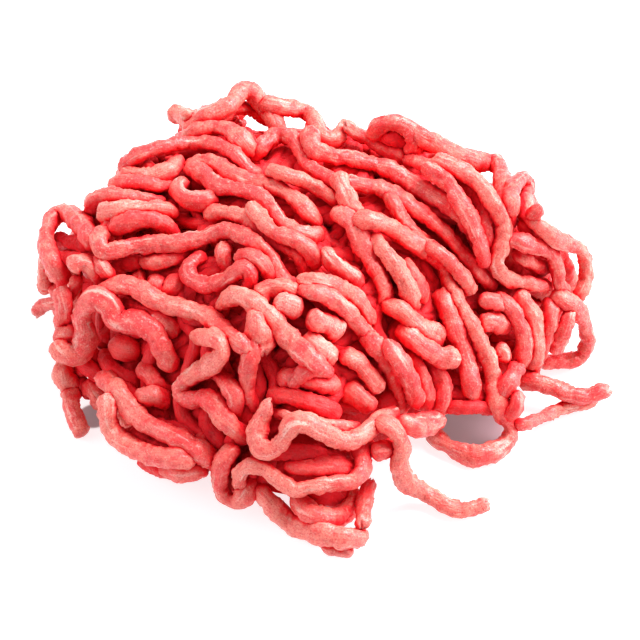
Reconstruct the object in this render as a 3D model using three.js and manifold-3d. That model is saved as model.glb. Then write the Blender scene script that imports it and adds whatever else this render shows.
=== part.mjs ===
// A heap of raw minced meat, lying as its strands fell from the mincer and settled.
// It is one closed solid: a low rounded core, with the strands that show fused to it.
// Millimetres, +Z up. The origin lies in the flat base, below the middle of the heap.

import * as THREE from "three";
import { mergeVertices } from "three/addons/utils/BufferGeometryUtils.js";
import Module from "manifold-3d";

const wasm = await Module();
wasm.setup();

// Driving sizes
const STRAND_DIAMETER = 5;
const STRAND_RADIUS = STRAND_DIAMETER / 2;
const HEAP_HEIGHT = 50;
const SUMMIT = { x: -6, y: 16 };
const REACH = { left: 67, right: 73, back: 55, front: 80 };

// Roundness of the heap's outline: 2 is an ellipse, 1 is a straight-sided diamond
const ROUNDNESS = { back: 2.2, frontLeft: 1.45, frontRight: 1.2 };

// Profile of the heap from the summit to the rim
const SHOULDER_POWER = 2.2;
const FLANK_POWER = 0.55;

// How the strands settle: squeezed a little where they cross, and sunk into the core
const CROSSING_SQUEEZE = 0.86;
const SUNK_IN_CORE = 1.15;

// Fineness of the solid
const STRAND_SIDES = 5;
const RING_SPACING = 10;
const TURN_PER_RING = THREE.MathUtils.degToRad(50);
const SHORTEST_EDGE = 0.06;
const CORE_SECTORS = 32;
const CORE_FOOT = 0.98;

// The heap bears on a flat three-cornered sole, and round it the meat clears the table a little
const SOLE_SHARE = 0.86;
const SOLE_SIDES = 3;
const SOLE_HEIGHT = 6;
const TABLE_GAP = 0.6;

// Rings of the core above its foot, as shares of the way from summit to rim
const CORE_RINGS = [0.95, 0.88, 0.75, 0.55, 0.32];

// The viewpoint from which the strands' places were read, and the size of that picture
const VIEW = { elevation: 44, distance: 470, halfAngle: 10, width: 640 };
const VIEW_AIM = new THREE.Vector3(0, -8, 18);
const HEAP_MIDDLE = { u: 312, v: 300 };

// The heap's outline in that picture, without the loose ends at its lower right
const SEEN_OUTLINE = "33,305 38,240 50,214 65,208 84,212 108,191 118,163 140,150 175,137 167,113 180,106"
  + " 225,102 247,81 262,91 290,100 315,106 330,130 347,119 370,130 392,116 408,120 448,148 494,157"
  + " 508,179 526,172 535,183 544,208 540,221 556,237 578,241 591,260 586,300 592,325 590,357 575,368"
  + " 540,370 500,396 440,414 404,444 366,486 370,536 356,560 300,538 262,506 235,508 215,480 190,483"
  + " 136,458 110,440 80,437 65,410 72,392 44,342 54,324";

// Strands that show, each a smooth curve through the places "u,v" that it passes in
// the picture. They are listed as they were laid, the lowest first.
const BACK_STRANDS = {
  tipLeft: "166,114 180,112 187,124 190,138",
  crest: "192,128 214,116 232,104 244,90 258,98 280,122 283,136",
  crestRight: "262,98 284,105 305,108 317,118 322,132 331,141 341,136 345,124",
  notchKnob: "346,122 354,132 374,142 392,153 412,166",
  backLoop: "372,138 377,123 394,121 409,127 415,142 404,158",
  backEdge: "412,132 434,143 478,162 497,164 502,182 503,206 510,228",
  longBack: "309,130 313,150 334,156 358,160 386,168 432,196 454,210 470,230 480,254",
  backInner: "404,158 452,170 468,186 482,208 486,234 490,256",
  archLeft: "122,168 136,156 158,148 186,143 212,144 232,152 246,166 258,180",
  ladderMiddle: "94,214 92,202 106,195 134,198 164,204",
  ladderLow: "112,230 130,221 150,220 166,226 174,236",
  archSecond: "168,164 192,158 212,162 224,176 250,182 276,185 308,212 320,224",
  archThird: "190,166 206,176 218,186 240,190 260,196 272,210 304,234 322,236",
};

const RIGHT_STRANDS = {
  knee: "206,214 222,212 242,216 256,228 270,242 302,258 306,272",
  middleSlope: "252,206 262,220 276,234 310,250 316,266",
  longDiagonal: "332,180 358,184 384,190 404,202 446,234 480,272 492,288",
  shortDiagonal: "390,194 400,214 412,232 430,244",
  branch: "338,176 346,196 366,236 392,264 412,298",
  flankHigh: "476,180 492,202 503,222 502,244 495,262 506,278 528,284 548,286",
  flankLow: "512,240 530,247 550,254 557,272 560,292 574,302",
  flankOuter: "518,222 536,234 552,248 562,266 572,284",
  rightLoop: "514,214 513,192 520,178 530,180 529,192 523,206 566,242 582,250 587,268 574,302",
  rightLowLoop: "553,294 572,306 584,322 587,342 580,358 560,361 538,362",
  rightMiddle: "516,294 530,312 537,334 536,356 531,376",
  rightInner: "494,296 510,308 521,326 524,346 520,366",
};

const CENTRE_STRANDS = {
  leftLoop: "98,240 76,219 62,216 50,222 45,238 47,256 62,286",
  leftStub: "36,314 42,305 58,302 72,294 78,276",
  leftLump: "68,268 80,262 94,268 104,280",
  longLeft: "104,230 98,240 104,252 150,244 222,231 240,234 270,256 277,272 290,284 332,304 346,322",
  centreArch: "236,258 250,255 264,264 270,278",
  doubleCurl: "204,256 192,262 187,274 200,284 220,283 236,272 247,268 252,280 246,292",
  fatLump: "256,298 268,290 286,290 300,296",
  tornArch: "220,306 230,298 246,301 258,310 262,324 260,340 264,354",
  leftFinger: "270,324 284,338 298,354 316,368 330,376",
  deepUpright: "252,356 248,376 250,398 252,416",
  bandLow: "300,290 322,294 342,306 358,324 372,340 384,358",
  fatStreak: "336,212 352,222 362,242 374,264 384,286 387,308",
  besideStreak: "372,236 386,254 398,270 408,290 414,310",
  longFront: "356,218 384,224 406,238 446,280 482,350 491,394 512,432 507,448 490,456 454,449 436,440",
  besideLong: "440,292 450,316 460,340 467,362 470,386 473,402",
  nose: "384,318 402,330 420,344 438,354 452,358",
  fallOne: "366,334 380,352 392,372 402,392 404,408",
  fallThree: "402,350 414,370 426,388 428,408",
  fallFour: "424,362 436,380 441,398 436,414",
  rightFinger: "342,354 356,360 370,376 382,392",
};

const FRONT_STRANDS = {
  leftKnob: "86,318 92,332 88,348 74,357 58,350 48,340",
  lowLeft: "64,366 66,380 80,386",
  lowLeftStub: "76,394 70,408 76,422 84,430",
  ball: "110,346 114,358 126,360 138,352",
  rimUpper: "103,378 116,388 128,404 140,420 162,430 202,452 216,462",
  rimLower: "107,400 111,420 120,438 138,450 160,458 184,461",
  frontArch: "76,340 72,324 82,306 97,297 110,304 120,317 140,321 154,332 170,368",
  longShoulder: "104,292 120,285 140,290 160,302 206,314 238,342 252,352",
  sixLoop: "196,338 214,338 224,350 216,363 196,372 178,397 190,405 208,403 217,392 200,387",
  sixTail: "206,404 220,420 232,434 248,438",
  frontEdge: "258,486 272,502 288,518 304,530 326,538 348,542 362,538",
  frontRing: "298,498 310,514 330,520 348,512 356,496",
  edgeDrop: "360,528 366,512 368,494 374,478",
  hook: "236,446 224,460 219,478 225,496 238,502 248,492 246,478",
  waveLow: "240,488 239,476 248,466 264,468 294,491 334,484 354,481 364,468 360,450 366,434",
  wave: "269,405 259,422 257,440 270,448 294,422 312,418 336,425 358,430 388,416",
  waveBelow: "298,424 314,437 334,444 354,440 368,428",
  knot: "392,416 404,428 422,430 434,422 430,412",
  strayFront: "378,420 394,430 402,446 400,466 406,482 444,504 462,511 476,508 488,502",
  strayRightLow: "514,426 536,420 558,410 580,404 598,396",
  strayRight: "522,380 544,384 566,392 586,396 600,392 609,389",
};

// Strands on the side that the picture doesn't show, spread by the golden section
const HIDDEN_STRANDS = 30;
const HIDDEN_FROM = THREE.MathUtils.degToRad(-14);
const HIDDEN_TO = THREE.MathUtils.degToRad(194);
const HIDDEN_TOP = 40;
const GOLDEN = 0.618034;

// Low strands that lie on the table against the heap's foot, evenly all round
const FOOT_STRANDS = 8;
const FOOT_SWEEP = 0.45;
const FOOT_RISE = 7;
const FOOT_STRAY = 0.4;

// Heap outline: 0 at the summit, 1 at the rim
function distanceShare(x, y) {
  const dx = x - SUMMIT.x;
  const dy = y - SUMMIT.y;
  const across = dx < 0 ? REACH.left : REACH.right;
  const along = dy < 0 ? REACH.front : REACH.back;
  const frontPower = dx < 0 ? ROUNDNESS.frontLeft : ROUNDNESS.frontRight;
  const power = dy < 0 ? frontPower : ROUNDNESS.back;
  const sum = Math.abs(dx / across) ** power + Math.abs(dy / along) ** power;
  return sum ** (1 / power);
}

function heightAtShare(share) {
  return HEAP_HEIGHT * Math.max(1 - share ** SHOULDER_POWER, 0) ** FLANK_POWER;
}

function shareAtHeight(height) {
  return (1 - (height / HEAP_HEIGHT) ** (1 / FLANK_POWER)) ** (1 / SHOULDER_POWER);
}

// The point of the heap's plan at an angle, a share of the way from summit to rim
function planPoint(angle, share) {
  const x = Math.cos(angle);
  const y = Math.sin(angle);
  const reach = share / distanceShare(SUMMIT.x + x, SUMMIT.y + y);
  return new THREE.Vector2(SUMMIT.x + x * reach, SUMMIT.y + y * reach);
}

// The height at which the middle of a strand comes to rest, kept on a grid of the plan.
// It starts as the heap's own surface, and every strand that is laid raises it.
const GRID_HALF = 110;
const GRID_CELL = 1;
const INSIDE_LAST_CELL = 0.001;

class Bed {
  constructor() {
    this.count = (2 * GRID_HALF) / GRID_CELL + 1;
    this.height = new Float64Array(this.count * this.count);
    for (let i = 0; i < this.count; i += 1) {
      for (let j = 0; j < this.count; j += 1) {
        const share = distanceShare(i * GRID_CELL - GRID_HALF, j * GRID_CELL - GRID_HALF);
        this.height[i * this.count + j] = Math.max(heightAtShare(share), STRAND_RADIUS);
      }
    }
  }

  at(x, y) {
    const last = this.count - 1 - INSIDE_LAST_CELL;
    const u = THREE.MathUtils.clamp((x + GRID_HALF) / GRID_CELL, 0, last);
    const v = THREE.MathUtils.clamp((y + GRID_HALF) / GRID_CELL, 0, last);
    const i = Math.floor(u);
    const j = Math.floor(v);
    const corner = i * this.count + j;
    const near = THREE.MathUtils.lerp(this.height[corner], this.height[corner + 1], v - j);
    const nextRow = corner + this.count;
    const far = THREE.MathUtils.lerp(this.height[nextRow], this.height[nextRow + 1], v - j);
    return THREE.MathUtils.lerp(near, far, u - i);
  }

  raise(strand) {
    const reach = STRAND_DIAMETER * CROSSING_SQUEEZE;
    const cells = Math.ceil(reach / GRID_CELL);
    for (const point of strand) {
      const middleI = Math.round((point.x + GRID_HALF) / GRID_CELL);
      const middleJ = Math.round((point.y + GRID_HALF) / GRID_CELL);
      for (let i = middleI - cells; i <= middleI + cells; i += 1) {
        for (let j = middleJ - cells; j <= middleJ + cells; j += 1) {
          const dx = i * GRID_CELL - GRID_HALF - point.x;
          const dy = j * GRID_CELL - GRID_HALF - point.y;
          const room = reach ** 2 - dx ** 2 - dy ** 2;
          if (room > 0) {
            const cell = i * this.count + j;
            this.height[cell] = Math.max(this.height[cell], point.z + Math.sqrt(room));
          }
        }
      }
    }
  }
}

// The viewpoint's own axes, and the direction of its line of sight through a place
const elevation = THREE.MathUtils.degToRad(VIEW.elevation);
const lookForward = new THREE.Vector3(0, Math.cos(elevation), -Math.sin(elevation));
const lookUp = new THREE.Vector3(0, Math.sin(elevation), Math.cos(elevation));
const eye = VIEW_AIM.clone().addScaledVector(lookForward, -VIEW.distance);
const focal = VIEW.width / 2 / Math.tan(THREE.MathUtils.degToRad(VIEW.halfAngle));

function sightLine(u, v) {
  const right = (u - VIEW.width / 2) / focal;
  const up = (VIEW.width / 2 - v) / focal;
  return lookForward.clone().addScaledVector(lookUp, up).setX(right);
}

// How far along a line a strand first rests on the heap or, where it may, on the table
const LINE_STEP = 0.5;
const ON_TABLE = STRAND_RADIUS + 0.05;

function restAlong(bed, start, direction, length, mayLieOnTable) {
  const point = new THREE.Vector3();
  for (let t = 0; t < length; t += LINE_STEP) {
    point.copy(start).addScaledVector(direction, t);
    const rest = bed.at(point.x, point.y);
    const onHeap = rest > ON_TABLE;
    if (point.z <= rest && (onHeap || mayLieOnTable(point))) {
      return t;
    }
  }
  return null;
}

// Behind the heap's front the table can't be seen, so no strand comes to rest there
const SIGHT_START = 360;
const SIGHT_LENGTH = 205;
const TABLE_SEEN_BEFORE = -4;

function restingDepth(bed, u, v) {
  const line = sightLine(u, v);
  const start = eye.clone().addScaledVector(line, SIGHT_START);
  const depth = restAlong(bed, start, line, SIGHT_LENGTH, (point) => point.y < TABLE_SEEN_BEFORE);
  return depth === null ? null : depth + SIGHT_START;
}

// A line of sight that passes the heap takes the depth found nearer the heap's middle
const TOWARDS_MIDDLE = 0.985;

function depthAt(bed, place) {
  let { x: u, y: v } = place;
  let depth = restingDepth(bed, u, v);
  while (depth === null) {
    u = THREE.MathUtils.lerp(HEAP_MIDDLE.u, u, TOWARDS_MIDDLE);
    v = THREE.MathUtils.lerp(HEAP_MIDDLE.v, v, TOWARDS_MIDDLE);
    depth = restingDepth(bed, u, v);
  }
  return depth;
}

// A soft strand bridges small dips: each value is averaged with its neighbours, twice
const NEIGHBOUR_WEIGHTS = [1, 2, 3, 4, 3, 2, 1];

function smooth(values) {
  const half = (NEIGHBOUR_WEIGHTS.length - 1) / 2;
  const total = NEIGHBOUR_WEIGHTS.reduce((sum, weight) => sum + weight, 0);
  const average = (list) => list.map((_, i) => NEIGHBOUR_WEIGHTS.reduce((sum, weight, k) => {
    const j = THREE.MathUtils.clamp(i + k - half, 0, list.length - 1);
    return sum + (weight * list[j]) / total;
  }, 0));
  return average(average(values));
}

function curveThrough(points) {
  return new THREE.CatmullRomCurve3(points, false, "centripetal");
}

function evenlySpaced(points, spacing) {
  const curve = curveThrough(points);
  return curve.getSpacedPoints(Math.max(2, Math.round(curve.getLength() / spacing)));
}

function placesFrom(text) {
  return text.split(" ").map((pair) => {
    const [u, v] = pair.split(",").map(Number);
    return new THREE.Vector3(u, v, 0);
  });
}

// A strand from the picture keeps its place in the view and slides along the line of sight
// until it rests on what lies below it. Its samples are about 1.5 mm apart.
const PIXEL_SPACING = 5.5;
const SAMPLE_SPACING = 1.5;

function layFromPicture(bed, text) {
  const samples = evenlySpaced(placesFrom(text), PIXEL_SPACING);
  const depths = samples.map((place) => depthAt(bed, place));
  const nearest = depths.map((depth, i) => Math.min(...depths.slice(Math.max(i - 1, 0), i + 2)));
  const strand = smooth(nearest).map((depth, i) => {
    const point = eye.clone().addScaledVector(sightLine(samples[i].x, samples[i].y), depth);
    return point.setZ(Math.max(point.z, STRAND_RADIUS));
  });
  bed.raise(strand);
  return strand;
}

// A repeatable scatter between 0 and 1
function scatter(index, salt) {
  const wave = Math.sin(index * 12.9898 + salt * 78.233) * 43758.5453;
  return wave - Math.floor(wave);
}

// A hidden strand winds down the heap's back, or lies across it, by turns. Its places are
// points of the heap's surface.
const STRAND_STEPS = 8;
const FALL_SWEEP = 0.6;
const ACROSS_SWEEP = 0.8;
const ACROSS_DROP = 8;
const ACROSS_WAVE = 4;
const SWAY = 0.08;

function hiddenPlaces(index) {
  const middle = THREE.MathUtils.lerp(HIDDEN_FROM, HIDDEN_TO, (index * GOLDEN) % 1);
  const falls = index % 2 === 0;
  const top = falls ? HIDDEN_TOP : THREE.MathUtils.lerp(STRAND_DIAMETER, HIDDEN_TOP, scatter(index, 1));
  const bottom = falls ? STRAND_RADIUS : top - ACROSS_DROP;
  const sweep = falls ? FALL_SWEEP * (scatter(index, 2) - 0.5) : ACROSS_SWEEP;
  const phase = 2 * Math.PI * scatter(index, 3);
  const places = [];
  for (let step = 0; step <= STRAND_STEPS; step += 1) {
    const share = step / STRAND_STEPS;
    const angle = middle + sweep * (share - 0.5) + SWAY * Math.sin(phase + 2 * Math.PI * share);
    const wave = falls ? 0 : ACROSS_WAVE * Math.sin(phase + 3 * Math.PI * share);
    const height = Math.max(THREE.MathUtils.lerp(top, bottom, share) + wave, STRAND_RADIUS);
    const plan = planPoint(angle, shareAtHeight(height));
    places.push(new THREE.Vector3(plan.x, plan.y, height));
  }
  return places;
}

// A foot strand has both ends on the table, and its middle lifted a little
function footPlaces(index) {
  const middle = (2 * Math.PI * (index + FOOT_STRAY * scatter(index, 5))) / FOOT_STRANDS;
  const places = [];
  for (let step = 0; step <= STRAND_STEPS; step += 1) {
    const share = step / STRAND_STEPS;
    const height = STRAND_RADIUS + FOOT_RISE * Math.sin(Math.PI * share) * scatter(index, 6);
    const plan = planPoint(middle + FOOT_SWEEP * (share - 0.5), shareAtHeight(height));
    places.push(new THREE.Vector3(plan.x, plan.y, height));
  }
  return places;
}

// Whether a strand at a point lies within the outline that the picture shows
const outline = placesFrom(SEEN_OUTLINE);

function withinOutline(point) {
  const offset = point.clone().sub(eye);
  const scale = focal / offset.dot(lookForward);
  const u = VIEW.width / 2 + offset.x * scale;
  const v = VIEW.width / 2 - offset.dot(lookUp) * scale;
  const place = new THREE.Vector3(u, v, 0);
  let inside = false;
  for (let i = 0; i < outline.length; i += 1) {
    const from = outline[i];
    const to = outline[(i + 1) % outline.length];
    const nearest = new THREE.Line3(from, to).closestPointToPoint(place, true, new THREE.Vector3());
    if (nearest.distanceTo(place) < STRAND_RADIUS * scale) {
      return false;
    }
    const edgeAt = from.x + ((v - from.y) * (to.x - from.x)) / (to.y - from.y);
    if (from.y > v !== to.y > v && edgeAt > u) {
      inside = !inside;
    }
  }
  return inside;
}

// The longest stretch of a strand that lies within the outline, if it is worth keeping
const FEWEST_SAMPLES = 9;

function stretchWithinOutline(strand) {
  let longest = [];
  let stretch = [];
  for (const point of strand) {
    stretch = withinOutline(point) ? [...stretch, point] : [];
    longest = stretch.length > longest.length ? stretch : longest;
  }
  return longest.length < FEWEST_SAMPLES ? [] : longest;
}

// A strand that the picture doesn't show slides in from outside until it rests. It is cut
// off where it would stand out beyond the outline.
const APPROACH = 30;
const APPROACH_SLOPE = 0.7;

function layFromOutside(bed, places) {
  const samples = evenlySpaced(places, SAMPLE_SPACING);
  const lines = samples.map((point) => {
    const outward = new THREE.Vector3(point.x - SUMMIT.x, point.y - SUMMIT.y, 0).normalize();
    return outward.setZ(APPROACH_SLOPE).normalize();
  });
  const depths = samples.map((point, i) => {
    const start = point.clone().addScaledVector(lines[i], APPROACH);
    return restAlong(bed, start, lines[i].clone().negate(), 2 * APPROACH, () => true);
  });
  const strand = smooth(depths).map((depth, i) => {
    const point = samples[i].clone().addScaledVector(lines[i], APPROACH - depth);
    return point.setZ(Math.max(point.z, STRAND_RADIUS));
  });
  const kept = stretchWithinOutline(strand);
  bed.raise(kept);
  return kept;
}

// A strand is a few-sided tube, with a ring more where it turns sharply
function strandSection() {
  const corners = [];
  for (let side = 0; side < STRAND_SIDES; side += 1) {
    const angle = (2 * Math.PI * side) / STRAND_SIDES;
    corners.push(new THREE.Vector2(Math.cos(angle), Math.sin(angle)).multiplyScalar(STRAND_RADIUS));
  }
  return new THREE.Shape(corners);
}

function totalTurn(points) {
  let turn = 0;
  for (let i = 2; i < points.length; i += 1) {
    const before = points[i - 1].clone().sub(points[i - 2]);
    turn += before.angleTo(points[i].clone().sub(points[i - 1]));
  }
  return turn;
}

const GUIDE_STRIDE = 3;

function strandGeometry(points) {
  const guides = points.filter((_, i) => i % GUIDE_STRIDE === 0 || i === points.length - 1);
  const curve = curveThrough(guides);
  const byLength = curve.getLength() / RING_SPACING;
  const byTurn = totalTurn(points) / TURN_PER_RING;
  const steps = Math.max(2, Math.round(Math.max(byLength, byTurn)));
  return new THREE.ExtrudeGeometry(strandSection(), { steps, extrudePath: curve, bevelEnabled: false });
}

// A turned shape, its radius given as shares, stretched to the heap's outline
function turnedToOutline(profile, sectors) {
  const shape = new THREE.LatheGeometry(profile, sectors);
  shape.rotateX(Math.PI / 2);
  const position = shape.attributes.position;
  for (let i = 0; i < position.count; i += 1) {
    const share = Math.hypot(position.getX(i), position.getY(i));
    const place = planPoint(Math.atan2(position.getY(i), position.getX(i)), share);
    position.setXY(i, place.x, place.y);
  }
  return shape;
}

function coreGeometry() {
  const rings = CORE_RINGS.map((share) => new THREE.Vector2(share, heightAtShare(share) - SUNK_IN_CORE));
  const middle = new THREE.Vector2(0, TABLE_GAP);
  const foot = new THREE.Vector2(CORE_FOOT, TABLE_GAP);
  const summit = new THREE.Vector2(0, HEAP_HEIGHT - SUNK_IN_CORE);
  return turnedToOutline([middle, foot, ...rings, summit], CORE_SECTORS);
}

function soleGeometry() {
  const corners = [[0, 0], [SOLE_SHARE, 0], [SOLE_SHARE, SOLE_HEIGHT], [0, SOLE_HEIGHT]];
  return turnedToOutline(corners.map(([share, height]) => new THREE.Vector2(share, height)), SOLE_SIDES);
}

function solidOf(geometry) {
  geometry.deleteAttribute("normal");
  geometry.deleteAttribute("uv");
  const merged = mergeVertices(geometry, 1e-4);
  return new wasm.Manifold(new wasm.Mesh({
    numProp: 3,
    vertProperties: new Float32Array(merged.attributes.position.array),
    triVerts: new Uint32Array(merged.index.array),
  }));
}

function geometryOf(solid) {
  const mesh = solid.getMesh();
  const geometry = new THREE.BufferGeometry();
  geometry.setAttribute("position", new THREE.BufferAttribute(mesh.vertProperties, 3));
  geometry.setIndex(new THREE.BufferAttribute(mesh.triVerts, 1));
  geometry.computeVertexNormals();
  return geometry;
}

// The heap in one piece, clear of the table but for its sole: sealed hollows are filled
// and loose scraps dropped
function settledSolid(strands) {
  const room = new THREE.BoxGeometry(2 * GRID_HALF, 2 * GRID_HALF, 2 * GRID_HALF);
  room.translate(0, 0, GRID_HALF + TABLE_GAP);
  const meat = wasm.Manifold.union([solidOf(coreGeometry()), ...strands]).intersect(solidOf(room));
  const bodies = meat.add(solidOf(soleGeometry())).decompose();
  const heap = bodies.reduce((largest, body) => (body.volume() > largest.volume() ? body : largest));
  return heap.simplify(SHORTEST_EDGE);
}

function buildHeap() {
  const bed = new Bed();
  const strands = [];
  for (let index = 0; index < FOOT_STRANDS; index += 1) {
    strands.push(layFromOutside(bed, footPlaces(index)));
  }
  for (let index = 0; index < HIDDEN_STRANDS; index += 1) {
    strands.push(layFromOutside(bed, hiddenPlaces(index)));
  }
  for (const group of [BACK_STRANDS, RIGHT_STRANDS, CENTRE_STRANDS, FRONT_STRANDS]) {
    for (const text of Object.values(group)) {
      strands.push(layFromPicture(bed, text));
    }
  }
  const laid = strands.filter((strand) => strand.length > 0);
  const solids = laid.map((strand) => solidOf(strandGeometry(strand)));
  const meat = new THREE.MeshStandardMaterial({ color: 0xe4655c, roughness: 0.45, metalness: 0 });
  const heap = new THREE.Mesh(geometryOf(settledSolid(solids)), meat);
  heap.name = "mince_heap";
  return heap;
}

const part = new THREE.Group();
part.add(buildHeap());

export default part;
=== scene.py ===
"""A heap of raw minced meat: the strands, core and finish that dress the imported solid.

Sizes in this script are millimetres, as on the real thing, and become metres only when a
mesh is made. The strands are laid one on another, the lowest first, so that each rests on
what lies below it.
"""

import math

import bpy
import numpy as np
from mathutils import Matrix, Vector, noise
from mathutils.bvhtree import BVHTree


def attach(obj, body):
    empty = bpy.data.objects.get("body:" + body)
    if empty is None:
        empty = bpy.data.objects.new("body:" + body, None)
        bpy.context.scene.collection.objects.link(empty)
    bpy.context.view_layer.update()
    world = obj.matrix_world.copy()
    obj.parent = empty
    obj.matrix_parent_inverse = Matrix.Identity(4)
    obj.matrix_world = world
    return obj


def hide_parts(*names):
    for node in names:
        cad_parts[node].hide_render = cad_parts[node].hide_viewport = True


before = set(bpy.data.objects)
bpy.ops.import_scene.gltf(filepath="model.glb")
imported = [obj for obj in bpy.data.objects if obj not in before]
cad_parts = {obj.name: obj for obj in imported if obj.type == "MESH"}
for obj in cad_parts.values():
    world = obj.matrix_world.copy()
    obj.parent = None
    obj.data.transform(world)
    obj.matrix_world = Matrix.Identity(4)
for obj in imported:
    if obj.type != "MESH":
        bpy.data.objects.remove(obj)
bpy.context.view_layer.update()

NODE = "mince_heap"
METRES = 0.001

# Driving sizes, the same as the solid's
STRAND_RADIUS = 2.5
HEAP_HEIGHT = 50.0
SUMMIT = (-6.0, 16.0)
REACH_LEFT, REACH_RIGHT, REACH_BACK, REACH_FRONT = 67.0, 73.0, 55.0, 80.0
ROUND_BACK, ROUND_FRONT_LEFT, ROUND_FRONT_RIGHT = 2.2, 1.45, 1.2
SHOULDER_POWER, FLANK_POWER = 2.2, 0.55
CROSSING_SQUEEZE = 0.86

# A strand's own thickness, as a share of the room that it takes where it lies: its relief
# fills the rest
FULLNESS = 0.86

# The viewpoint: its aim, its height above the horizon, its distance and half its field
VIEW_AIM = np.array([0.0, -8.0, 18.0])
VIEW_ELEVATION = math.radians(44)
VIEW_DISTANCE = 470.0
VIEW_HALF_ANGLE = math.radians(10)
PICTURE_WIDTH = 640
HEAP_MIDDLE = np.array([312.0, 300.0])
SENSOR_WIDTH = 36.0

# The heap's outline in that picture, without the loose ends at its lower right
SEEN_OUTLINE = (
    "33,305 38,240 50,214 65,208 84,212 108,191 118,163 140,150 175,137 167,113 180,106 225,102"
    " 247,81 262,91 290,100 315,106 330,130 347,119 370,130 392,116 408,120 448,148 494,157 508,179"
    " 526,172 535,183 544,208 540,221 556,237 578,241 591,260 586,300 592,325 590,357 575,368"
    " 540,370 500,396 440,414 404,444 366,486 370,536 356,560 300,538 262,506 235,508 215,480"
    " 190,483 136,458 110,440 80,437 65,410 72,392 44,342 54,324"
)

# Gaps that show the table behind, each a box of the picture from "u,v" to "u,v"
SEEN_GAPS = {
    "left_of_crest": "251,120 272,130",
    "below_crest": "286,115 304,128",
    "in_right_loop": "563,250 577,272",
    "in_right_low_loop": "560,335 577,356",
    "in_left_loop": "60,228 67,237",
    "below_back_edge": "482,176 490,184",
    "in_front_bend": "446,410 497,444",
    "beside_stray": "376,440 399,484",
    "between_strays": "524,390 560,412",
    "in_front_ring": "314,500 336,511",
}

# Strands that show, each a smooth curve through the places "u,v" that it passes in the
# picture. They are listed as they were laid, the lowest first.
BACK_STRANDS = {
    "tip_left": "171,113 182,116 190,125 192,138",
    "tip_above": "180,113 194,117 210,119",
    "crest_hollow": "242,132 250,144 256,154",
    "under_crest": "204,126 222,117 237,108 250,109 261,115 270,122",
    "crest": "190,128 200,119 218,111 232,103 240,91 249,90 258,99 268,110 276,122 280,136",
    "crest_right": "262,103 286,108 304,111 314,119 319,132 329,141 340,137 345,124",
    "under_holes": "252,160 260,148 269,140 280,135 294,139 302,152 308,166 322,176 340,188"
                   " 352,204",
    "second_left": "186,135 206,128 224,128 240,139 252,155",
    "notch_knob": "346,122 354,132 374,142 392,153 412,166",
    "loop_hollow": "380,134 395,138 408,146",
    "back_loop": "374,137 380,126 394,123 408,128 415,140 411,154",
    "back_edge": "412,132 434,143 456,153 478,162 497,164 502,182 503,206 510,228",
    "long_back": "309,130 313,150 334,156 358,160 386,168 408,180 432,196 454,210 470,230 480,254",
    "back_inner": "404,158 430,166 452,170 468,186 482,208 486,234 490,256",
    "arch_left": "122,168 136,156 158,148 186,143 212,144 232,152 246,166 258,180",
    "arch_left_low": "124,172 146,178 170,170 180,158",
    "ladder_high": "112,184 136,182 158,186 174,186",
    "ladder_middle": "94,214 92,202 106,195 134,198 164,204",
    "ladder_low": "100,214 126,210 152,208 176,212",
    "ladder_foot": "112,230 130,221 150,220 166,226 174,236",
    "arch_second": "186,170 198,162 214,163 228,173 248,181 272,186 292,196 308,212 320,224",
    "arch_third": "190,166 206,176 218,186 240,190 260,196 272,210 284,224 304,234 322,236",
    "curl_back": "184,181 177,190 186,199 204,201 216,196",
    "back_fill": "268,170 288,176 310,184 330,196 350,206",
}

RIGHT_STRANDS = {
    "knee": "206,214 222,212 242,216 256,228 270,242 288,250 302,258 306,272",
    "middle_slope": "252,206 262,220 276,234 296,240 310,250 316,266",
    "long_diagonal": "332,180 358,184 384,190 404,202 426,217 446,234 464,254 480,272 492,288",
    "short_diagonal": "390,194 400,214 412,232 430,244",
    "branch": "338,176 346,196 356,216 366,236 380,250 392,264 404,280 412,298",
    "flank_high": "434,160 456,169 476,181 492,202 503,222 502,244 495,262 506,278 528,284"
                  " 548,286",
    "flank_inner": "424,168 444,179 460,201 472,223 481,246 485,264",
    "flank_outer": "518,222 536,234 552,248 564,268 576,292",
    "flank_short": "514,252 530,262 548,270",
    "flank_low": "510,238 530,245 549,251 557,266 559,284 574,303",
    "right_loop": "512,216 511,198 514,184 522,178 528,183 525,194 523,206 531,218 545,231"
                  " 562,242 577,247 585,258 586,272 583,288 574,302",
    "right_knob": "541,205 536,212 530,220",
    "right_low_loop": "553,294 572,306 584,322 587,342 580,358 560,361 538,362",
    "right_strut": "571,310 564,330 554,350",
    "hollow_right": "492,336 504,338 517,340",
    "hollow_right_low": "490,350 504,349 519,352",
    "hollow_right_foot": "492,364 504,364 518,366",
    "right_outer": "552,300 550,322 543,344 534,360",
    "right_middle": "516,294 530,312 537,334 536,356 531,376",
    "right_inner": "494,296 510,308 521,326 524,346 520,366",
    "right_lump": "478,302 492,300 504,306",
    "right_lump_low": "478,324 494,322 508,328",
    "right_ball": "496,347 503,352 500,362",
}

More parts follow.
